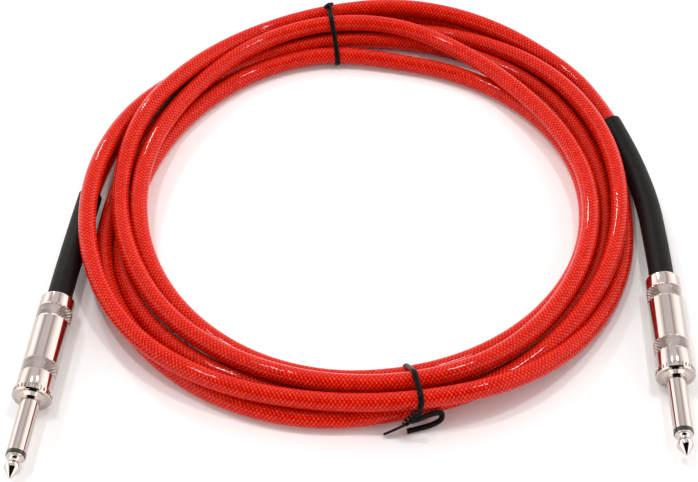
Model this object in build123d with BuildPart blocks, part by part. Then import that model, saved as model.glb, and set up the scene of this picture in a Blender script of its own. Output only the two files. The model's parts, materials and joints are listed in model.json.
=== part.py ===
from build123d import *

import os
from math import cos, pi, radians, sin, tan

# A coiled instrument cable with two 6.35 mm plugs, lying on the floor. Millimetres, +Z up.
# The origin is on the floor, in the middle of the box round the two plugs and their sleeves.

os.makedirs("parts", exist_ok=True)

# The coil's centre seen from the origin. Places on the floor are given from the coil's centre.
coil_x = 2.42
coil_y = 41.26

# Cable and heat-shrink sleeve
cable_radius = 3.1
sleeve_radius = 4.2
sleeve_bore = 3.15

# Coil: outer and inner radius of the bundle of turns at every 30 degrees, from +X anticlockwise
outer_radii = (96.0, 96.2, 103.4, 100.3, 97.6, 95.6, 99.2, 102.4, 101.8, 98.1, 100.0, 99.8)
inner_radii = (77.8, 74.2, 70.4, 69.8, 74.3, 73.9, 76.1, 77.5, 77.3, 77.2, 76.6, 78.0)
coil_height = 4 * cable_radius

# Plugs. Along a plug's axis, 0 is the flange's front face and the tip is on the plus side.
finger_radius = 6.35 / 2
finger_length = 29.6
flange_radius = 6.5
flange_back = -2.2
boss_back = -10.4
boss_radius = 4.85
thread_pitch = 0.8
barrel_radius = 5.9
barrel_front = -2.35
barrel_back = -40.4
barrel_bore = 5.15
barrel_thread_bore = 4.93
barrel_mouth = 4.5
liner_radius = 5.05
liner_bore = 4.65
rod_radius = 1.2
rod_front = 25.0
tube_radius = 2.2
ring_back = 20.6
ring_front = 21.9
collar_front = 1.2
collar_radius = 3.7
jacket_end = -22.5
sleeve_end = -29.0
straight_end = -48.5

# Each plug: the place of its flange's front face, and the way its tip points in degrees
plugs = {"left": ((-106.6, -90.1), -95.65), "right": ((101.6, -81.6), -91.0)}

# Route of the cable after the straight stretch behind each plug, to where it joins the coil
routes = {
    "left": ((-98.9, -14.0, 5.0), (-96.2, 8.0, 4.2), (-90.8, 27.0, 4.2)),
    "right": (
        (102.0, -5.0, 5.4),
        (98.6, 17.0, 4.3),
        (90.5, 44.5, 4.3),
        (79.5, 61.0, 5.4),
        (66.5, 75.5, 6.5),
    ),
}
# Each sleeve's mouth: which of the cable's points it comes after, and how far after it
mouths = {"left": (2, 13.0), "right": (3, 19.7)}

# Twist ties: their direction from the coil's centre in degrees
ties = {"rear": 97.2, "front": -79.5}
tie_width = 1.9
tie_thickness = 0.8
tie_wire_radius = 0.22
tie_gap = 0.1


def floor_place(x, y, z=0.0):
    """A place given from the coil's centre."""
    return Vector(x + coil_x, y + coil_y, z)


def finish(piece, name):
    """Labels a piece and writes its file."""
    piece.part.label = name
    export_step(piece.part, f"parts/{name}.step")


def plug_frame(side):
    """The flange's front centre and the direction of the tip."""
    (x, y), heading = plugs[side]
    direction = Vector(cos(radians(heading)), sin(radians(heading)), 0)
    return floor_place(x, y, flange_radius), direction


def section_plane(side):
    """The plane through a plug's axis: x is outwards and up, y is along the axis."""
    front, direction = plug_frame(side)
    return Plane(origin=front, x_dir=(0, 0, 1), z_dir=(-direction.Y, direction.X, 0))


def cross_plane(side, along):
    """The plane across a plug's axis: x is sideways, y is up."""
    front, direction = plug_frame(side)
    return Plane(
        origin=front + direction * along,
        x_dir=(-direction.Y, direction.X, 0),
        z_dir=direction,
    )


def turn_outline(side, outline):
    """Turns (along, radius) points round a plug's axis, in the part being built."""
    front, direction = plug_frame(side)
    with BuildSketch(section_plane(side)) as section:
        with BuildLine():
            Polyline(*[(radius, along) for along, radius in outline], close=True)
        make_face()
    revolve(section.sketch, axis=Axis(front, direction))


def turned(side, outline):
    """A round piece on a plug's axis, from (along, radius) points."""
    with BuildPart() as piece:
        turn_outline(side, outline)
    return piece


def tube_outline(back, front, inner, outer):
    return ((back, inner), (back, outer), (front, outer), (front, inner))


def bend_radii(points):
    """Each corner's largest arc: 0.45 of its shorter run over the tangent of half the turn."""
    radii = []
    for before, corner, after in zip(points, points[1:], points[2:]):
        run_in, run_out = corner - before, after - corner
        half_turn = radians(run_in.get_angle(run_out)) / 2
        radii.append(0.45 * min(run_in.length, run_out.length) / tan(half_turn))
    return radii


def swept_tube(points, radii, outer, inner=0.0):
    """A tube along straight runs joined by tangent arcs."""
    with BuildPart() as piece:
        with BuildLine() as route:
            FilletPolyline(*points, radius=radii)
        path = route.wire()
        with BuildSketch(Plane(origin=path @ 0, z_dir=path % 0)):
            Circle(outer)
            if inner:
                Circle(inner, mode=Mode.SUBTRACT)
        sweep(path=path)
    return piece, path.length


def cable_route(side):
    """The cable's points from its stripped end in the plug to the coil."""
    front, direction = plug_frame(side)
    points = [front + direction * jacket_end, front + direction * straight_end]
    return points + [floor_place(*place) for place in routes[side]]


def sleeve_route(side):
    """The part of the cable's route that the sleeve covers, with the same bends."""
    front, direction = plug_frame(side)
    points = cable_route(side)
    radii = bend_radii(points)
    points[0] = front + direction * sleeve_end
    last, along = mouths[side]
    mouth = points[last] + (points[last + 1] - points[last]).normalized() * along
    return points[: last + 1] + [mouth], radii[:last]


def make_barrel(side):
    """Screw-on shell with a thread bore in front and a rolled mouth at the back."""
    barrel = turned(
        side,
        (
            (barrel_front, barrel_thread_bore),
            (barrel_front, barrel_radius - 0.3),
            (barrel_front - 0.3, barrel_radius),
            (barrel_back + 1.0, barrel_radius),
            (barrel_back + 0.3, barrel_radius - 0.3),
            (barrel_back, barrel_radius - 1.0),
            (barrel_back, barrel_mouth),
            (barrel_back + 1.5, barrel_mouth),
            (barrel_back + 1.5, barrel_bore),
            (-11.5, barrel_bore),
            (-11.5, barrel_thread_bore),
        ),
    )
    finish(barrel, f"{side}_barrel")


def make_plug_body(side):
    """The sleeve contact: finger, collar, notched flange and threaded boss."""
    thread_depth = 0.35
    thread_turns = 8
    notches = 32
    thread = []
    for turn in range(thread_turns):
        crest = flange_back - 1.0 - turn * thread_pitch
        thread += [(crest, boss_radius), (crest - thread_pitch / 2, boss_radius - thread_depth)]
    outline = [(ring_back, tube_radius), (ring_back, finger_radius)]
    outline += [(collar_front, finger_radius), (collar_front, collar_radius - 0.15)]
    outline += [(collar_front - 0.15, collar_radius), (collar_front - 0.4, collar_radius)]
    outline += [(0, 4.9), (0, flange_radius - 0.4), (-0.4, flange_radius)]
    outline += [(flange_back, flange_radius), (flange_back, boss_radius)]
    outline += thread
    outline += [(boss_back, boss_radius - thread_depth), (boss_back, tube_radius)]
    with BuildPart() as body:
        turn_outline(side, outline)
        with BuildSketch(cross_plane(side, flange_back)):
            with PolarLocations(flange_radius, notches):
                Rectangle(1.1, 0.6)
        extrude(amount=1.7, mode=Mode.SUBTRACT)
    finish(body, f"{side}_plug_body")


def make_tip(side):
    """The tip contact: a rim against the ring, a neck, a bulge and a pointed cone."""
    neck_along, neck_radius = 24.1, 1.75
    bulge_along, bulge_radius = 25.9, 2.65
    cone_along, end_radius = 26.5, 0.45
    front, direction = plug_frame(side)
    with BuildPart() as tip:
        with BuildSketch(section_plane(side)):
            with BuildLine():
                Polyline((rod_radius, ring_front), (2.95, ring_front), (2.95, ring_front + 0.5))
                Spline(
                    (2.95, ring_front + 0.5),
                    (neck_radius, neck_along),
                    (bulge_radius, bulge_along),
                    tangents=((-1, 0.15), (0, 1)),
                )
                Polyline(
                    (bulge_radius, bulge_along),
                    (bulge_radius - 0.1, cone_along),
                    (end_radius + 0.2, finger_length - 0.25),
                    (end_radius, finger_length),
                    (0, finger_length),
                    (0, rod_front),
                    (rod_radius, rod_front),
                    (rod_radius, ring_front),
                )
            make_face()
        revolve(axis=Axis(front, direction))
    finish(tip, f"{side}_tip")


def make_plug_core(side):
    """What insulates and carries the tip: ring, tube, rod, washer and liner."""
    finish(
        turned(side, tube_outline(ring_back, ring_front, rod_radius, finger_radius)),
        f"{side}_tip_insulator_ring",
    )
    finish(
        turned(side, tube_outline(boss_back - 0.5, ring_back, rod_radius, tube_radius)),
        f"{side}_inner_tube",
    )
    rod = turned(
        side,
        ((-13.0, 0), (-13.0, 1.4), (-12.8, 1.8), (-12.2, 1.8), (-12.2, rod_radius))
        + ((rod_front, rod_radius), (rod_front, 0)),
    )
    finish(rod, f"{side}_centre_rod")
    finish(
        turned(side, tube_outline(-11.7, -10.9, rod_radius, 3.1)),
        f"{side}_fibre_washer",
    )
    finish(
        turned(side, tube_outline(-38.6, -12.0, liner_bore, liner_radius)),
        f"{side}_liner",
    )


def make_lugs(side):
    """The tip's solder lug, and the ground lug with its cable clamp."""
    plate = 0.5
    tip_tail_height = 2.25
    ground_tail_height = -3.45
    with BuildPart() as tip_lug:
        with BuildSketch(cross_plane(side, -11.7)):
            Circle(2.9)
            Circle(rod_radius, mode=Mode.SUBTRACT)
        extrude(amount=-plate)
        with BuildSketch(cross_plane(side, -11.7)):
            with Locations((0, tip_tail_height)):
                Rectangle(2.4, plate)
        extrude(amount=-6.3)
    finish(tip_lug, f"{side}_tip_lug")

    with BuildPart() as ground_lug:
        with BuildSketch(cross_plane(side, boss_back)):
            Circle(4.3)
            Circle(tube_radius, mode=Mode.SUBTRACT)
        extrude(amount=-plate)
        with BuildSketch(cross_plane(side, boss_back)):
            with Locations((0, ground_tail_height)):
                Rectangle(4.0, 0.6)
        extrude(amount=-18.1)
        with BuildSketch(cross_plane(side, -24.0)):
            Circle(3.75)
            Circle(sleeve_bore, mode=Mode.SUBTRACT)
            with Locations((0, 3.4)):
                Rectangle(2.4, 2.4, mode=Mode.SUBTRACT)
        extrude(amount=-4.0)
    finish(ground_lug, f"{side}_ground_lug")


def make_wiring(side):
    """The stripped cable inside the barrel: core, wire, shield and the two solder joints."""
    front, direction = plug_frame(side)
    up = Vector(0, 0, 1)
    finish(
        turned(side, ((jacket_end, 0), (jacket_end, 1.3), (-19.0, 1.3), (-19.0, 0))),
        f"{side}_core_insulation",
    )
    wire_places = ((-19.0, 0.0), (-17.8, 0.3), (-16.6, 1.1), (-15.3, 1.5), (-14.0, 1.5))
    wire_points = [front + direction * along + up * height for along, height in wire_places]
    wire, _ = swept_tube(wire_points, bend_radii(wire_points), 0.4)
    finish(wire, f"{side}_centre_wire")

    with BuildPart() as shield:
        with BuildSketch(cross_plane(side, jacket_end)):
            with Locations((0, -2.35)):
                Circle(0.7)
        extrude(amount=6.0)
    finish(shield, f"{side}_shield_pigtail")

    with BuildPart() as solder:
        with BuildSketch(cross_plane(side, -15.9)):
            with Locations((0, 1.7)):
                Circle(0.85)
        extrude(amount=2.2)
        with BuildSketch(cross_plane(side, -19.2)):
            with Locations((0, -2.5)):
                Circle(1.0)
        extrude(amount=2.4)
        fillet(solder.edges().filter_by(GeomType.CIRCLE), 0.45)
    finish(solder, f"{side}_solder_joints")


def make_sleeve_and_cable_end(side):
    """The heat-shrink sleeve, and the stretch of cable that it holds."""
    sleeve, sleeve_length = swept_tube(*sleeve_route(side), sleeve_radius, sleeve_bore)
    finish(sleeve, f"{side}_heat_shrink_sleeve")
    points = cable_route(side)
    cable, length = swept_tube(points, bend_radii(points), cable_radius)
    finish(cable, f"{side}_cable_end")
    expected = pi * cable_radius**2 * length
    print(side, "sleeve length", round(sleeve_length, 1), "cable end length", round(length, 1))
    print(side, "bend radii", [round(r) for r in bend_radii(points)])
    print(side, "cable volume over section x length", round(cable.part.volume / expected, 4))


def coil_outline(radii):
    """A closed smooth outline with the given radius every 30 degrees."""
    step = 2 * pi / len(radii)
    places = [(r * cos(i * step), r * sin(i * step)) for i, r in enumerate(radii)]
    Spline(*places, periodic=True)


def tie_plane(name):
    """The plane across the coil's bundle at a tie: x is away from the coil's centre, y is up."""
    angle = radians(ties[name])
    away = Vector(cos(angle), sin(angle), 0)
    return Plane(origin=floor_place(0, 0), x_dir=away, z_dir=away.cross(Vector(0, 0, 1)))


def tie_span(name):
    """The tie's inner and outer reach from the coil's centre, on its centre line."""
    reach = {"rear": (69.2, 100.9), "front": (76.2, 99.7)}
    return reach[name]


def tie_loop(name, grow):
    """A tie's outline in its plane, grown by a margin from its centre line."""
    inner, outer = tie_span(name)
    low = tie_thickness / 2
    high = coil_height + tie_thickness / 2 + 0.1
    with Locations(((inner + outer) / 2, (low + high) / 2)):
        RectangleRounded(outer - inner + 2 * grow, high - low + 2 * grow, 0.9 + grow)


def make_tie(name):
    """A twist tie round the bundle: a plastic ribbon with a steel wire in it."""
    plane = tie_plane(name)
    half = tie_thickness / 2
    with BuildPart() as wire:
        with BuildSketch(plane):
            tie_loop(name, tie_wire_radius)
            with BuildSketch(mode=Mode.PRIVATE) as hole:
                tie_loop(name, -tie_wire_radius)
            add(hole.sketch, mode=Mode.SUBTRACT)
        extrude(amount=tie_wire_radius, both=True)
    with BuildPart() as ribbon:
        with BuildSketch(plane):
            tie_loop(name, half)
            with BuildSketch(mode=Mode.PRIVATE) as hole:
                tie_loop(name, -half)
            add(hole.sketch, mode=Mode.SUBTRACT)
        extrude(amount=tie_width / 2, both=True)
        if name == "front":
            knot_place = plane.from_local_coords(Vector(tie_span(name)[1] + 1.6, 8.0, 0))
            with BuildSketch(Plane(origin=knot_place, x_dir=(1, 0, 0), z_dir=(0, 0, 1))):
                Circle(1.5)
            extrude(amount=-6.0)
        add(wire.part, mode=Mode.SUBTRACT)
    finish(ribbon, f"{name}_tie_ribbon")
    finish(wire, f"{name}_tie_wire")


def make_coil():
    """The outer shape of the coiled turns, with room under it for the left end and the ties."""
    channel_height = 9.8
    channel_half_width = sleeve_radius + 0.25
    under_points = [Vector(point.X, point.Y, 0) for point in cable_route("left")]
    under_radii = bend_radii(under_points)
    with BuildPart() as coil:
        with BuildSketch(Plane(origin=floor_place(0, 0))):
            with BuildLine():
                coil_outline(outer_radii)
            make_face()
            with BuildLine():
                coil_outline(inner_radii)
            make_face(mode=Mode.SUBTRACT)
        extrude(amount=coil_height)
        with BuildSketch(Plane.XY):
            with BuildLine() as under:
                FilletPolyline(*under_points, radius=under_radii)
            trace(under.line, line_width=2 * channel_half_width)
        extrude(amount=channel_height, mode=Mode.SUBTRACT)
        for name in ties:
            inner, outer = tie_span(name)
            with BuildSketch(tie_plane(name)):
                with Locations(((inner + outer) / 2, tie_thickness / 2)):
                    Rectangle(outer - inner, tie_thickness + tie_gap)
            extrude(amount=tie_width / 2 + tie_gap, both=True, mode=Mode.SUBTRACT)
    finish(coil, "cable_coil")


for side in plugs:
    make_barrel(side)
    make_plug_body(side)
    make_tip(side)
    make_plug_core(side)
    make_lugs(side)
    make_wiring(side)
    make_sleeve_and_cable_end(side)
for name in ties:
    make_tie(name)
make_coil()
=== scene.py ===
import json
from math import cos, exp, floor, pi, radians, sin

import bpy
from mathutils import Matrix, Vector


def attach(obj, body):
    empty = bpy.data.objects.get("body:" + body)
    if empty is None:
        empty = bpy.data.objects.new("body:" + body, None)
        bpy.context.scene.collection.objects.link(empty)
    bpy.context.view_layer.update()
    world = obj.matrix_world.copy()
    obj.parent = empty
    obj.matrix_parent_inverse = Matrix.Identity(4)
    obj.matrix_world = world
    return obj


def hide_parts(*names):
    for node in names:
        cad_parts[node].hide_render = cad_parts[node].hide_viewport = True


# A coiled instrument cable with two phone plugs. Lengths are given in millimetres and turned
# into metres by place() and mm.

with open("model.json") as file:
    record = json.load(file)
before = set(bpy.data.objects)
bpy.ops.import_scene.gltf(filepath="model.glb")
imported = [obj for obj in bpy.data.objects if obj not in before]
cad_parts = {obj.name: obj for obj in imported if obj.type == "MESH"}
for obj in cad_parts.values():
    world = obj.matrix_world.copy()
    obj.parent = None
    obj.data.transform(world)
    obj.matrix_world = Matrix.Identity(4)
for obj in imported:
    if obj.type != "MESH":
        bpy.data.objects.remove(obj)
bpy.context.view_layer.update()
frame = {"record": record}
mm = 0.001

# Places on the floor are given from the coil's centre, as in part.py.
coil_x = 2.42
coil_y = 41.26

# Cable
cable_radius = 3.1
turn_step = 20

# Plugs: the place of the flange's front face and the way the tip points, in degrees.
# Along a plug's axis, 0 is the flange's front face and the tip is on the plus side.
flange_radius = 6.5
plugs = {"left": ((-106.6, -90.1), -95.65), "right": ((101.6, -81.6), -91.0)}
jacket_end = -22.5
straight_end = -48.5
barrel_front = -2.35
barrel_back = -40.4
barrel_radius = 5.9
barrel_bore = 5.15
barrel_thread_bore = 4.93
barrel_thread_back = -11.5
barrel_mouth = 4.5
barrel_lip = 1.5
routes = {
    "left": ((-98.9, -14.0, 5.0), (-96.2, 8.0, 4.2), (-90.8, 27.0, 4.2)),
    "right": ((102.0, -5.0, 5.4), (98.6, 17.0, 4.3), (90.5, 44.5, 4.3)),
}

# Twist ties: direction from the coil's centre in degrees. The ribbon's middle is tie_stand_off
# out from the cable's surface, and its top leans sideways by tie_lean.
ties = {"rear": 97.2, "front": -79.5}
ribbon_half_width = 0.95
ribbon_half_thickness = 0.42
tie_stand_off = 0.45
tie_spacing = 0.7
tie_lean = 0.8
twist_turns = 2
twist_radius = 0.75
twist_steps = 36

# Fineness of the lines and sections
cable_resolution = 12
cable_sides = 24
ribbon_resolution = 10
ribbon_sides = 16
outline_steps = 32

# The turns of the coil, clockwise, each from 180 degrees on in steps of turn_step: distance
# from the coil's centre and height of the cable's middle. The first turn starts later, where
# the left end reaches the coil, and the last one stops where the right end leaves it.
first_turn_start = 2
turns = (
    (
        (93.6, 3.2), (95.4, 3.1), (96.8, 3.1), (97.1, 3.1), (96.8, 3.1), (94.4, 3.1),
        (93.6, 3.1), (93.1, 3.1), (95.8, 3.1), (97.3, 4.5), (97.4, 9.5), (94.4, 9.6),
        (93.5, 8.7), (97.3, 9.0), (100.3, 9.0), (98.9, 10.2),
    ),
    (
        (95.7, 12.0), (92.2, 11.1), (89.2, 7.3), (88.5, 3.2), (89.2, 3.1), (90.0, 3.1),
        (90.9, 6.0), (92.2, 8.5), (92.4, 9.1), (91.6, 9.0), (91.5, 8.0), (91.8, 6.6),
        (92.5, 4.7), (93.2, 3.1), (96.8, 3.1), (98.6, 3.1), (98.0, 3.1), (95.1, 3.1),
    ),
    (
        (88.4, 3.1), (85.0, 3.1), (83.4, 3.1), (82.4, 3.1), (82.0, 3.1), (83.2, 3.1),
        (85.4, 3.1), (88.0, 3.1), (87.3, 3.1), (86.8, 3.1), (87.3, 3.1), (87.0, 3.1),
        (86.4, 3.1), (86.8, 3.1), (87.2, 3.1), (90.0, 3.1), (91.6, 3.1), (88.7, 3.1),
    ),
    (
        (81.3, 3.1), (77.9, 3.1), (76.3, 3.1), (76.0, 3.1), (74.7, 3.1), (71.8, 3.1),
        (73.6, 3.1), (76.3, 3.1), (79.1, 3.1), (80.6, 3.1), (81.1, 3.1), (80.5, 3.1),
        (79.9, 3.1), (80.1, 3.1), (80.4, 3.1), (80.5, 3.1), (80.5, 4.3), (80.0, 6.2),
    ),
    (
        (79.1, 8.9), (78.9, 9.3), (80.3, 8.8), (83.6, 9.3), (85.6, 9.3), (85.1, 9.2),
        (80.0, 8.6), (76.5, 9.3), (77.9, 9.3), (80.6, 9.3), (82.4, 9.2), (84.2, 8.6),
        (86.6, 9.3), (86.8, 9.3), (86.0, 9.1), (85.6, 7.8), (86.0, 7.3), (85.7, 8.5),
    ),
    (
        (85.8, 9.2), (86.0, 13.4), (86.0, 12.6), (89.4, 9.3), (92.1, 8.7), (96.8, 9.2),
        (98.3, 8.9), (100.0, 6.3),
    ),
)


def place(x, y, z=0.0):
    """A place given from the coil's centre in millimetres, in the frame's metres."""
    return Vector((x + coil_x, y + coil_y, z)) * mm


def plug_frame(side):
    """The flange's front centre, the direction of the tip and the direction sideways."""
    (x, y), heading = plugs[side]
    direction = Vector((cos(radians(heading)), sin(radians(heading)), 0))
    return place(x, y, flange_radius), direction, Vector((-direction.y, direction.x, 0))


def add_object(name, data):
    thing = bpy.data.objects.new(name, data)
    bpy.context.scene.collection.objects.link(thing)
    return thing


# ---------------------------------------------------------------- camera


def make_camera():
    """In front of the plugs, looking down at the coil."""
    data = bpy.data.cameras.new("camera")
    data.sensor_width = 36
    data.lens = 82
    camera = add_object("camera", data)
    camera.location = place(-4.54, -381.8, 428.9)
    aim = place(-4.54, -17.89) - camera.location
    camera.rotation_euler = aim.to_track_quat("-Z", "Y").to_euler()
    data.clip_start = 0.01
    data.clip_end = 20
    bpy.context.scene.camera = camera


# ---------------------------------------------------------------- cable


def tie_lift(angle):
    """The turns lie on the ties' ribbons, so they are a ribbon's thickness higher there."""
    ribbon, spread = 0.85, 14
    return sum(ribbon * exp(-(((angle - at) / spread) ** 2)) for at in ties.values())


def tail_points(side):
    """From the stripped end in the plug, through the sleeve, to the coil."""
    front, direction, _ = plug_frame(side)
    inside = [front + direction * along * mm for along in (jacket_end, straight_end)]
    return inside + [place(*point) for point in routes[side]]


def coil_points():
    points = []
    for count, turn in enumerate(turns):
        skipped = first_turn_start if count == 0 else 0
        for step, (radius, height) in enumerate(turn):
            angle = 180 - turn_step * (step + skipped)
            lifted = height + tie_lift(angle)
            points.append(place(radius * cos(radians(angle)), radius * sin(radians(angle)), lifted))
    return points


def cable_points():
    """Control points. In the coil they stand off outwards, so that the line meets the turns."""
    start, end = tail_points("left"), tail_points("right")[::-1]
    coil = coil_points()
    line = start + coil + end
    points = []
    for index, point in enumerate(line):
        in_coil = len(start) <= index < len(start) + len(coil)
        if in_coil:
            point = point - (line[index - 1] - 2 * point + line[index + 1]) / 8
        points.append(point)
    return points


def nurbs_line(name, points, resolution):
    """A smooth line with these control points, as a list of close points."""
    curve = bpy.data.curves.new(name, "CURVE")
    curve.dimensions = "3D"
    spline = curve.splines.new("NURBS")
    spline.points.add(len(points) - 1)
    for control, point in zip(spline.points, points):
        control.co = (*point, 1)
    spline.order_u = 3
    spline.use_endpoint_u = True
    spline.resolution_u = resolution
    curve.resolution_u = resolution
    holder = add_object(name, curve)
    graph = bpy.context.evaluated_depsgraph_get()
    mesh = bpy.data.meshes.new_from_object(holder.evaluated_get(graph))
    line = [vertex.co.copy() for vertex in mesh.vertices]
    bpy.data.meshes.remove(mesh)
    bpy.data.objects.remove(holder)
    return line


def carried_frames(line, first_up):
    """Two directions across the line at each point, carried along it without twist."""
    frames = []
    up = Vector(first_up)
    for index, point in enumerate(line):
        before = line[max(index - 1, 0)]
        after = line[min(index + 1, len(line) - 1)]
        along = (after - before).normalized()
        up = (up - along * up.dot(along)).normalized()
        frames.append((up, along.cross(up)))
    return frames


def sweep(name, line, section, frames, closed=False):
    """A tube with a section given by (up, side) offsets. UV: metres along, part of the round."""
    count = len(section)
    vertices, faces, uvs = [], [], []
    travelled = [0.0]
    for before, after in zip(line, line[1:]):
        travelled.append(travelled[-1] + (after - before).length)
    if closed:
        travelled.append(travelled[-1] + (line[0] - line[-1]).length)
    for point, (up, side) in zip(line, frames):
        vertices += [point + up * high + side * wide for high, wide in section]
    rings = len(line) if closed else len(line) - 1
    for ring in range(rings):
        following = (ring + 1) % len(line)
        for corner in range(count):
            turned = (corner + 1) % count
            faces.append(
                (
                    ring * count + corner,
                    ring * count + turned,
                    following * count + turned,
                    following * count + corner,
                )
            )
            here, there = travelled[ring], travelled[ring + 1]
            low, high = corner / count, (corner + 1) / count
            uvs += [(here, low), (here, high), (there, high), (there, low)]
    if not closed:
        last = (len(line) - 1) * count
        faces.append(tuple(range(count))[::-1])
        faces.append(tuple(range(last, last + count)))
        uvs += [(0, 0)] * (2 * count)
    mesh = bpy.data.meshes.new(name)
    mesh.from_pydata(vertices, [], faces)
    layer = mesh.uv_layers.new(name="UVMap")
    for loop, uv in zip(layer.data, uvs):
        loop.uv = uv
    mesh.update()
    piece = add_object(name, mesh)
    for polygon in mesh.polygons:
        polygon.use_smooth = len(polygon.vertices) == 4
    return piece


def round_section(radius, count):
    angles = [2 * pi * index / count for index in range(count)]
    return [(radius * cos(angle), radius * sin(angle)) for angle in angles]


def make_cable(material):
    line = nurbs_line("cable_line", cable_points(), cable_resolution)
    section = round_section(cable_radius * mm, cable_sides)
    cable = sweep("cable", line, section, carried_frames(line, (0, 0, 1)))
    cable.data.materials.append(material)
    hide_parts("cable_coil", "left_cable_end", "right_cable_end")
    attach(cable, "cable")
    return cable, line


# ---------------------------------------------------------------- ties


def crossings(line, angle):
    """Where the cable crosses a tie's plane: distance from the coil's centre and height."""
    away = Vector((cos(radians(angle)), sin(radians(angle)), 0))
    across = Vector((-away.y, away.x, 0))
    centre = place(0, 0)
    found = []
    for before, after in zip(line, line[1:]):
        one, two = (before - centre).dot(across), (after - centre).dot(across)
        if one * two <= 0 and one != two and (before - centre).dot(away) > 0:
            middle = before.lerp(after, one / (one - two))
            found.append(((middle - centre).dot(away), middle.z))
    return found


def hull(points):
    """The convex outline of flat points, anticlockwise."""
    points = sorted(set(points))

    def half(ordered):
        chain = []
        for point in ordered:
            while len(chain) > 1:
                (ax, ay), (bx, by) = chain[-2], chain[-1]
                if (bx - ax) * (point[1] - ay) - (by - ay) * (point[0] - ax) > 0:
                    break
                chain.pop()
            chain.append(point)
        return chain[:-1]

    return half(points) + half(points[::-1])


def tie_line(line, name):
    """The tie's closed line round the bundle, high enough for its ribbon to clear the floor."""
    angle = ties[name]
    reach = (cable_radius + tie_stand_off) * mm
    lowest = ribbon_half_thickness * mm
    around = [2 * pi * index / outline_steps for index in range(outline_steps)]
    outline = hull(
        [
            (radius + reach * cos(turn), max(height + reach * sin(turn), lowest))
            for radius, height in crossings(line, angle)
            for turn in around
        ]
    )
    lengths = [
        ((bx - ax) ** 2 + (by - ay) ** 2) ** 0.5
        for (ax, ay), (bx, by) in zip(outline, outline[1:] + outline[:1])
    ]
    count = int(sum(lengths) / (tie_spacing * mm))
    away = Vector((cos(radians(angle)), sin(radians(angle)), 0))
    points, edge, passed = [], 0, 0.0
    for index in range(count):
        wanted = sum(lengths) * index / count
        while passed + lengths[edge] < wanted:
            passed += lengths[edge]
            edge += 1
        part = (wanted - passed) / lengths[edge]
        (ax, ay), (bx, by) = outline[edge], outline[(edge + 1) % len(outline)]
        flat, high = ax + (bx - ax) * part, ay + (by - ay) * part
        points.append(place(0, 0) + away * flat + Vector((0, 0, high)))
    return points, Vector((-away.y, away.x, 0))


def ribbon_section():
    """A flat plastic ribbon, thicker in the middle over its wire: (thickness, width)."""
    edge, wire_spread = 0.2, 0.45
    section = []
    for index in range(ribbon_sides):
        turn = 2 * pi * index / ribbon_sides
        wide = ribbon_half_width * cos(turn)
        bulge = edge + (ribbon_half_thickness - edge) * exp(-((wide / wire_spread) ** 2))
        section.append((bulge * sin(turn) * mm, wide * mm))
    return section


def closed_frames(points, sideways):
    """Frames for a closed loop in a plane: up is outwards."""
    frames = []
    for index, point in enumerate(points):
        along = (points[(index + 1) % len(points)] - points[index - 1]).normalized()
        up = along.cross(sideways)
        frames.append((up, -sideways))
    return frames


def join(name, parts):
    """One object of several, at the origin."""
    first = parts[0]
    with bpy.context.temp_override(
        active_object=first, object=first, selected_editable_objects=parts, selected_objects=parts
    ):
        bpy.ops.object.join()
    first.name = name
    return first


def loose_ribbon(name, places, first_up):
    """A free length of ribbon through places, starting with its flat side facing first_up."""
    line = nurbs_line(name, [place(*point) for point in places], ribbon_resolution)
    return sweep(name, line, ribbon_section(), carried_frames(line, first_up))


def twisted_pair(name, start, end):
    """Two ribbons twisted round each other from start to end."""
    start, end = place(*start), place(*end)
    along = (end - start).normalized()
    up = Vector((0, 0, 1))
    up = (up - along * up.dot(along)).normalized()
    side = along.cross(up)
    pair = []
    for half in range(2):
        line, frames = [], []
        for index in range(twist_steps + 1):
            part = index / twist_steps
            angle = 2 * pi * (twist_turns * part + half / 2)
            out = up * cos(angle) + side * sin(angle)
            line.append(start.lerp(end, part) + out * twist_radius * mm)
            frames.append((out, along.cross(out)))
        pair.append(sweep(f"{name}_{half}", line, ribbon_section(), frames))
    return pair


def make_ties(cable_line, material):
    loose = {
        "rear": [
            loose_ribbon(
                "rear_end",
                ((-10.6, 91.6, 14.4), (-12.2, 91.6, 14.4), (-13.4, 91.8, 13.8), (-14.2, 92.2, 12.4)),
                (0, 0, 1),
            )
        ],
        "front": [
            loose_ribbon(
                "front_straight_end",
                ((14.4, -98.6, 5.6), (13.2, -98.7, 4.5), (9.8, -99.4, 2.6), (6.6, -100.0, 1.2)),
                (-0.3, 0.7, 0.6),
            ),
            loose_ribbon(
                "front_bent_end",
                (
                    (15.0, -98.0, 5.6),
                    (17.6, -97.2, 5.5),
                    (20.8, -95.4, 5.3),
                    (23.6, -94.3, 5.0),
                    (25.4, -93.9, 4.4),
                    (25.2, -95.6, 3.0),
                    (22.2, -97.0, 2.2),
                    (18.0, -98.1, 1.7),
                    (14.0, -99.0, 1.4),
                ),
                (0, -0.8, 0.6),
            ),
        ],
    }
    loose["front"] += twisted_pair("front_twist", (17.0, -98.3, 11.2), (13.2, -99.0, 5.8))
    made = []
    for name in ties:
        points, sideways = tie_line(cable_line, name)
        top = max(point.z for point in points)
        points = [point + sideways * tie_lean * mm * (point.z / top) ** 3 for point in points]
        frames = closed_frames(points, sideways)
        loop = sweep(f"{name}_loop", points, ribbon_section(), frames, closed=True)
        tie = join(f"{name}_tie", [loop] + loose[name])
        tie.data.materials.clear()
        tie.data.materials.append(material)
        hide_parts(f"{name}_tie_ribbon", f"{name}_tie_wire")
        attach(tie, "cable")
        made.append(tie)
    return made


# ---------------------------------------------------------------- barrels


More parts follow.
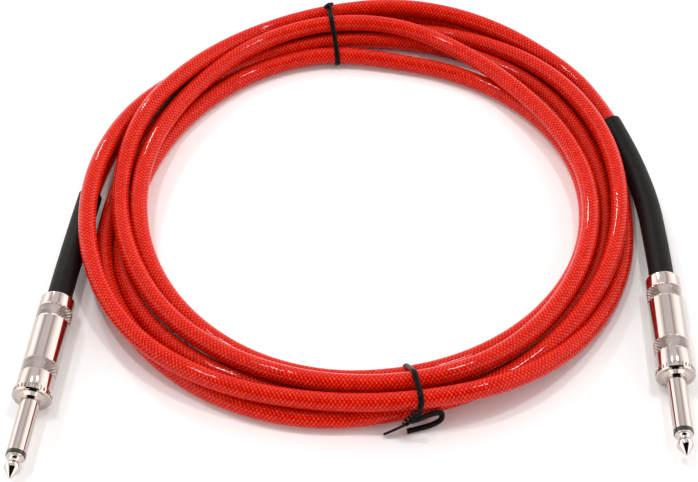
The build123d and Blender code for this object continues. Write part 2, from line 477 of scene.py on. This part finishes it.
def knurl_height(along, turn):
    """Height of the diamond knurl: 0 in its crossed grooves and 1 on the lands between."""
    around, pitch, groove_part = 30, 1.25, 0.75
    round_part = turn / (2 * pi) * around
    one = along / pitch + round_part
    two = along / pitch - round_part
    ridge_one = 1 - abs(2 * (one - floor(one)) - 1)
    ridge_two = 1 - abs(2 * (two - floor(two)) - 1)
    return min(ridge_one, ridge_two, groove_part) / groove_part


def barrel_profile():
    """(along, radius, knurl) from the front's inner edge over the outside to the back."""
    bands = ((5.2, 10.2), (27.2, 32.1))
    knurl_step = 0.12
    band_margin, band_edge, edge_steps = 0.25, 0.02, 3
    back_rounding, rounding_steps = 1.0, 6
    profile = [(barrel_thread_back, barrel_bore, 0), (barrel_thread_back, barrel_thread_bore, 0)]
    profile += [(barrel_front, barrel_thread_bore, 0), (barrel_front, barrel_radius - 0.35, 0)]
    profile += [(barrel_front - 0.12, barrel_radius - 0.1, 0)]
    profile += [(barrel_front - 0.35, barrel_radius, 0)]
    for from_back, to_back in bands[::-1]:
        near, far = barrel_back + to_back, barrel_back + from_back
        profile.append((near + band_margin, barrel_radius, 0))
        profile.append((near + band_edge, barrel_radius, 0))
        steps = round((near - far) / knurl_step)
        for step in range(steps + 1):
            edge = min(step, steps - step, edge_steps) / edge_steps
            profile.append((near - step * knurl_step, barrel_radius, edge))
        profile.append((far - band_edge, barrel_radius, 0))
        profile.append((far - band_margin, barrel_radius, 0))
    profile.append((barrel_back + back_rounding, barrel_radius, 0))
    for step in range(1, rounding_steps + 1):
        turn = radians(90 * step / rounding_steps)
        along = barrel_back + back_rounding * (1 - sin(turn))
        profile.append((along, barrel_radius - back_rounding * (1 - cos(turn)), 0))
    profile += [(barrel_back, barrel_mouth + 0.1, 0), (barrel_back + 0.1, barrel_mouth, 0)]
    profile += [(barrel_back + barrel_lip, barrel_mouth, 0)]
    profile += [(barrel_back + barrel_lip, barrel_bore, 0)]
    return profile


def make_barrel(side, material):
    """The screw-on shell, with its two bands of diamond knurl cut into the metal."""
    knurl_depth = 0.3
    knurl_stand = 0.06
    around = 300
    front, direction, sideways = plug_frame(side)
    up = Vector((0, 0, 1))
    profile = barrel_profile()
    vertices, faces, groove = [], [], []
    for along, radius, knurl in profile:
        for index in range(around):
            turn = 2 * pi * index / around
            cut = 1 - knurl_height(along, turn)
            stand = knurl * (knurl_stand - knurl_depth * cut)
            groove.append(knurl * cut)
            out = up * cos(turn) + sideways * sin(turn)
            vertices.append(front + direction * along * mm + out * (radius + stand) * mm)
    rings = len(profile)
    for ring in range(rings):
        following = (ring + 1) % rings
        for index in range(around):
            turned = (index + 1) % around
            faces.append(
                (
                    ring * around + index,
                    ring * around + turned,
                    following * around + turned,
                    following * around + index,
                )
            )
    mesh = bpy.data.meshes.new(f"{side}_knurled_barrel")
    mesh.from_pydata(vertices, [], faces)
    mesh.update()
    # How deep each point lies in a knurl groove, used by the barrel's material for painted shade.
    mesh.attributes.new("groove", "FLOAT", "POINT").data.foreach_set("value", groove)
    mesh.shade_smooth()
    mesh.set_sharp_from_angle(angle=radians(30))
    barrel = add_object(f"{side}_knurled_barrel", mesh)
    barrel.data.materials.append(material)
    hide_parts(f"{side}_barrel")
    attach(barrel, f"{side}_barrel")


# ---------------------------------------------------------------- materials


class Nodes:
    """Short ways to make and join a material's nodes."""

    def __init__(self, name):
        self.material = bpy.data.materials.new(name)
        self.material.use_nodes = True
        self.tree = self.material.node_tree
        self.shader = self.tree.nodes["Principled BSDF"]

    def add(self, kind, **values):
        node = self.tree.nodes.new(kind)
        for key, value in values.items():
            setattr(node, key, value)
        return node

    def link(self, source, target):
        self.tree.links.new(source, target)

    def math(self, operation, first, second=None, third=None):
        node = self.add("ShaderNodeMath", operation=operation)
        for socket, value in zip(node.inputs, (first, second, third)):
            if isinstance(value, (int, float)):
                socket.default_value = value
            elif value is not None:
                self.link(value, socket)
        return node.outputs[0]

    def ramp(self, source, *stops):
        node = self.add("ShaderNodeValToRGB")
        elements = node.color_ramp.elements
        while len(elements) < len(stops):
            elements.new(0.5)
        for element, (position, colour) in zip(elements, stops):
            element.position = position
            element.color = (*colour, 1)
        self.link(source, node.inputs[0])
        return node.outputs[0]

    def noise(self, scale, detail):
        coordinates = self.add("ShaderNodeTexCoord").outputs["Object"]
        node = self.add("ShaderNodeTexNoise")
        node.inputs["Scale"].default_value = scale
        node.inputs["Detail"].default_value = detail
        self.link(coordinates, node.inputs["Vector"])
        return node.outputs[0]

    def spread(self, source, low, high):
        node = self.add("ShaderNodeMapRange")
        node.inputs["To Min"].default_value = low
        node.inputs["To Max"].default_value = high
        self.link(source, node.inputs["Value"])
        return node.outputs[0]

    def bump(self, height, distance, strength=1.0):
        node = self.add("ShaderNodeBump")
        node.inputs["Distance"].default_value = distance
        node.inputs["Strength"].default_value = strength
        self.link(height, node.inputs["Height"])
        self.link(node.outputs[0], self.shader.inputs["Normal"])

    def set(self, **values):
        for key, value in values.items():
            self.shader.inputs[key.replace("_", " ")].default_value = value


def braid_material():
    """Red herringbone braid seen under a smooth, glossy clear jacket, with painted shade in the
    weave's hollows and a painted highlight on its crowns.
    """
    pitch = 1.4 * mm
    strands_round = 10
    filaments_in_strand = 3
    nodes = Nodes("cable_braid")
    uv = nodes.add("ShaderNodeSeparateXYZ")
    nodes.link(nodes.add("ShaderNodeUVMap", uv_map="UVMap").outputs[0], uv.inputs[0])
    along = nodes.math("DIVIDE", uv.outputs[0], pitch)
    around = nodes.math("MULTIPLY", uv.outputs[1], float(strands_round))
    one = nodes.math("ADD", along, around)
    two = nodes.math("SUBTRACT", along, around)
    one_cell, two_cell = nodes.math("FLOOR", one), nodes.math("FLOOR", two)
    one_part, two_part = nodes.math("FRACT", one), nodes.math("FRACT", two)
    crown_one = nodes.math("SINE", nodes.math("MULTIPLY", one_part, pi))
    crown_two = nodes.math("SINE", nodes.math("MULTIPLY", two_part, pi))
    # Each strand goes over two and under two of the others
    column = nodes.math("FLOORED_MODULO", nodes.math("SUBTRACT", one_cell, two_cell), 4.0)
    under = nodes.math("GREATER_THAN", column, 1.5)
    over_one = nodes.math("MULTIPLY", crown_one, nodes.math("POWER", crown_two, 0.3))
    over_two = nodes.math("MULTIPLY", crown_two, nodes.math("POWER", crown_one, 0.3))
    mixed = nodes.add("ShaderNodeMix")
    nodes.link(under, mixed.inputs[0])
    nodes.link(over_one, mixed.inputs[2])
    nodes.link(over_two, mixed.inputs[3])
    height = mixed.outputs[0]
    # Fine filaments along each strand
    filament_turn = 2 * pi * filaments_in_strand
    filament_one = nodes.math("SINE", nodes.math("MULTIPLY", one_part, filament_turn))
    filament_two = nodes.math("SINE", nodes.math("MULTIPLY", two_part, filament_turn))
    filaments = nodes.add("ShaderNodeMix")
    nodes.link(under, filaments.inputs[0])
    nodes.link(filament_one, filaments.inputs[2])
    nodes.link(filament_two, filaments.inputs[3])
    cell = nodes.add("ShaderNodeCombineXYZ")
    nodes.link(one_cell, cell.inputs[0])
    nodes.link(two_cell, cell.inputs[1])
    shade = nodes.add("ShaderNodeTexWhiteNoise", noise_dimensions="2D")
    nodes.link(cell.outputs[0], shade.inputs["Vector"])
    painted_weave_shade_and_tone = nodes.math("MULTIPLY_ADD", shade.outputs["Value"], 0.22, height)
    painted_weave_shade_and_tone = nodes.math("MULTIPLY_ADD", filaments.outputs[0], 0.04, painted_weave_shade_and_tone)
    # The colour follows the weave's height: painted shade in the hollows between strands and a
    # painted highlight on the crowns, with a random tone for each cell and faint filament lines.
    colour = nodes.ramp(
        painted_weave_shade_and_tone,
        (0.1, (0.33, 0.001, 0.0003)),
        (0.55, (0.48, 0.003, 0.0004)),
        (0.9, (0.64, 0.009, 0.001)),
        (1.0, (0.84, 0.04, 0.005)),
    )
    nodes.link(colour, nodes.shader.inputs["Base Color"])
    nodes.bump(height, 0.2 * mm, 0.6)
    nodes.set(
        Roughness=0.6,
        Coat_Weight=1.0,
        Coat_Roughness=0.03,
        Coat_IOR=1.22,
        Specular_IOR_Level=0.05,
    )
    return nodes.material


def metal_material(name, colour, rough_low, rough_high, groove_painted_shade=1.0):
    """Plated metal with a faint uneven polish, darkened by painted shade in the grooves of a knurl.
    """
    nodes = Nodes(name)
    grain = nodes.noise(900, 4)
    nodes.link(nodes.spread(grain, rough_low, rough_high), nodes.shader.inputs["Roughness"])
    tone = nodes.noise(60, 2)
    darker = tuple(part * 0.9 for part in colour)
    plate = nodes.ramp(tone, (0.3, darker), (0.7, colour))
    if groove_painted_shade < 1.0:
        # Painted shade: the base colour is multiplied down where the knurl's grooves lie.
        groove = nodes.add("ShaderNodeAttribute", attribute_name="groove").outputs["Fac"]
        shade = nodes.ramp(groove, (0.25, (1, 1, 1)), (0.8, (groove_painted_shade,) * 3))
        mixed = nodes.add("ShaderNodeMix", data_type="RGBA", blend_type="MULTIPLY")
        mixed.inputs[0].default_value = 1.0
        nodes.link(plate, mixed.inputs[6])
        nodes.link(shade, mixed.inputs[7])
        plate = mixed.outputs[2]
    nodes.link(plate, nodes.shader.inputs["Base Color"])
    nodes.bump(grain, 0.004 * mm, 0.4)
    nodes.set(Metallic=1.0)
    return nodes.material


def plain_material(name, low, high, roughness, bump=0.02, scale=700, coat=0.0, shine=0.4):
    """Plastic, rubber or fibre with a fine grain and an uneven tone."""
    nodes = Nodes(name)
    grain = nodes.noise(scale, 5)
    nodes.link(nodes.ramp(grain, (0.3, low), (0.7, high)), nodes.shader.inputs["Base Color"])
    spread = nodes.spread(nodes.noise(scale / 4, 2), roughness * 0.85, min(roughness * 1.15, 1))
    nodes.link(spread, nodes.shader.inputs["Roughness"])
    nodes.bump(grain, bump * mm)
    nodes.set(Coat_Weight=coat, Coat_Roughness=0.1, Specular_IOR_Level=shine)
    return nodes.material


def make_materials():
    return {
        "cable_jacket": braid_material(),
        "nickel_plate": metal_material("nickel_plate", (0.56, 0.49, 0.46), 0.05, 0.10),
        "tip_nickel": metal_material("tip_nickel", (0.62, 0.56, 0.53), 0.03, 0.07),
        # The barrel's knurl grooves get painted shade, down to 0.45 of the plate's colour.
        "barrel_nickel": metal_material(
            "barrel_nickel", (0.55, 0.48, 0.45), 0.07, 0.12, groove_painted_shade=0.45
        ),
        "black_insulator": plain_material(
            "black_insulator", (0.006, 0.006, 0.006), (0.015, 0.015, 0.015), 0.25, coat=0.3
        ),
        "inner_plastic": plain_material(
            "inner_plastic", (0.04, 0.04, 0.04), (0.08, 0.08, 0.08), 0.5
        ),
        "rod_brass": metal_material("rod_brass", (0.78, 0.58, 0.28), 0.2, 0.35),
        "fibre": plain_material("fibre", (0.22, 0.09, 0.05), (0.36, 0.16, 0.09), 0.8),
        "liner_plastic": plain_material(
            "liner_plastic", (0.78, 0.78, 0.74), (0.86, 0.86, 0.82), 0.35
        ),
        "tinned_lug": metal_material("tinned_lug", (0.72, 0.72, 0.70), 0.25, 0.4),
        "core_plastic": plain_material("core_plastic", (0.8, 0.8, 0.76), (0.9, 0.9, 0.88), 0.4),
        "copper": metal_material("copper", (0.85, 0.42, 0.25), 0.2, 0.35),
        "solder": metal_material("solder", (0.66, 0.67, 0.68), 0.2, 0.3),
        "heat_shrink": plain_material(
            "heat_shrink", (0.004, 0.003, 0.003), (0.009, 0.007, 0.007), 0.5, 0.04, 500, shine=0.1
        ),
        "tie_plastic": plain_material(
            "tie_plastic", (0.003, 0.002, 0.002), (0.008, 0.006, 0.006), 0.3, coat=0.08, shine=0.03
        ),
    }


def dress_cad(materials, replaced):
    """Gives each CAD node that stays its own material."""
    for entry in frame["record"]["subparts"]:
        node = entry["node"]
        if node in replaced:
            continue
        thing = bpy.data.objects[node]
        material = materials[entry["material_slot"]]
        for slot in thing.material_slots:
            slot.material = material
        if not thing.material_slots:
            thing.data.materials.append(material)


# ---------------------------------------------------------------- surroundings


def make_floor():
    """A plain white floor."""
    mesh = bpy.data.meshes.new("floor")
    reach = 3.0
    corners = [(-reach, -reach, 0), (reach, -reach, 0), (reach, reach, 0), (-reach, reach, 0)]
    mesh.from_pydata(corners, [], [(0, 1, 2, 3)])
    floor_object = add_object("floor", mesh)
    nodes = Nodes("floor_white")
    nodes.set(Base_Color=(0.93, 0.925, 0.93, 1), Roughness=0.6)
    mesh.materials.append(nodes.material)


def make_lamp(name, direction, size, power):
    """A round lamp that shines at the coil's centre from the given direction."""
    distance = 1.3
    data = bpy.data.lights.new(name, "AREA")
    data.shape = "DISK"
    data.size = size
    data.energy = power
    lamp = add_object(name, data)
    aim = Vector(direction).normalized()
    lamp.location = place(0, 0) + aim * distance
    lamp.rotation_euler = (-aim).to_track_quat("-Z", "Y").to_euler()


def make_world():
    """A pale room with two grey bars overhead, which the plated parts reflect as streaks, and
    a dark patch high up on the side that the plugs point to."""
    world = bpy.data.worlds.new("studio")
    bpy.context.scene.world = world
    world.use_nodes = True
    tree = world.node_tree
    background = tree.nodes["Background"]
    background.inputs["Strength"].default_value = 2.1

    def link(source, target):
        tree.links.new(source, target)

    def ramp(source, stops):
        node = tree.nodes.new("ShaderNodeValToRGB")
        while len(node.color_ramp.elements) < len(stops):
            node.color_ramp.elements.new(0.5)
        for element, (position, level) in zip(node.color_ramp.elements, stops):
            element.position = position
            element.color = (level, level, level, 1)
        link(source, node.inputs[0])
        return node.outputs[0]

    def product(first, second):
        node = tree.nodes.new("ShaderNodeMix")
        node.data_type = "RGBA"
        node.blend_type = "MULTIPLY"
        node.inputs[0].default_value = 1.0
        link(first, node.inputs[6])
        link(second, node.inputs[7])
        return node.outputs[2]

    coordinates = tree.nodes.new("ShaderNodeTexCoord").outputs["Generated"]
    direction = tree.nodes.new("ShaderNodeSeparateXYZ")
    link(coordinates, direction.inputs[0])
    angle = tree.nodes.new("ShaderNodeMath")
    angle.operation = "ARCTAN2"
    link(direction.outputs[0], angle.inputs[0])
    link(direction.outputs[2], angle.inputs[1])
    part = tree.nodes.new("ShaderNodeMapRange")
    part.inputs["From Min"].default_value = -pi
    part.inputs["From Max"].default_value = pi
    link(angle.outputs[0], part.inputs["Value"])
    # Part of a full turn about the Y axis, from straight down, and brightness there
    bars = (
        (0.33, 1.0), (0.375, 0.50), (0.40, 0.26), (0.425, 0.46),
        (0.535, 0.50), (0.56, 0.24), (0.585, 0.48), (0.66, 1.0),
    )
    patch = tree.nodes.new("ShaderNodeVectorMath")
    patch.operation = "DOT_PRODUCT"
    patch.inputs[1].default_value = (0.0, -0.64, 0.77)
    link(coordinates, patch.inputs[0])
    tint = tree.nodes.new("ShaderNodeRGB")
    tint.outputs[0].default_value = (1.0, 0.965, 0.94, 1)
    patch_edges = ((0.78, 1.0), (0.84, 0.01))
    room = product(ramp(part.outputs[0], bars), ramp(patch.outputs["Value"], patch_edges))
    link(product(room, tint.outputs[0]), background.inputs["Color"])


def make_lights():
    make_world()
    make_lamp("lamp_left", (-0.27, 0.205, 0.94), size=0.12, power=3.0)
    make_lamp("lamp_right", (0.27, 0.205, 0.94), size=0.12, power=3.0)
    make_lamp("lamp_back", (-0.35, 0.72, 0.60), size=0.13, power=3.2)
    view_settings = bpy.context.scene.view_settings
    view_settings.view_transform = "Standard"
    view_settings.look = "None"
    view_settings.exposure = 0.0


# ---------------------------------------------------------------- assembly


make_camera()
materials = make_materials()
cable, cable_line = make_cable(materials["cable_jacket"])
tie_pieces = make_ties(cable_line, materials["tie_plastic"])
for side in plugs:
    make_barrel(side, materials["barrel_nickel"])
cord_nodes = frame["record"]["physics"]["cord_nodes"]
dress_cad(materials, {*cord_nodes, "left_barrel", "right_barrel"})
make_floor()
make_lights()
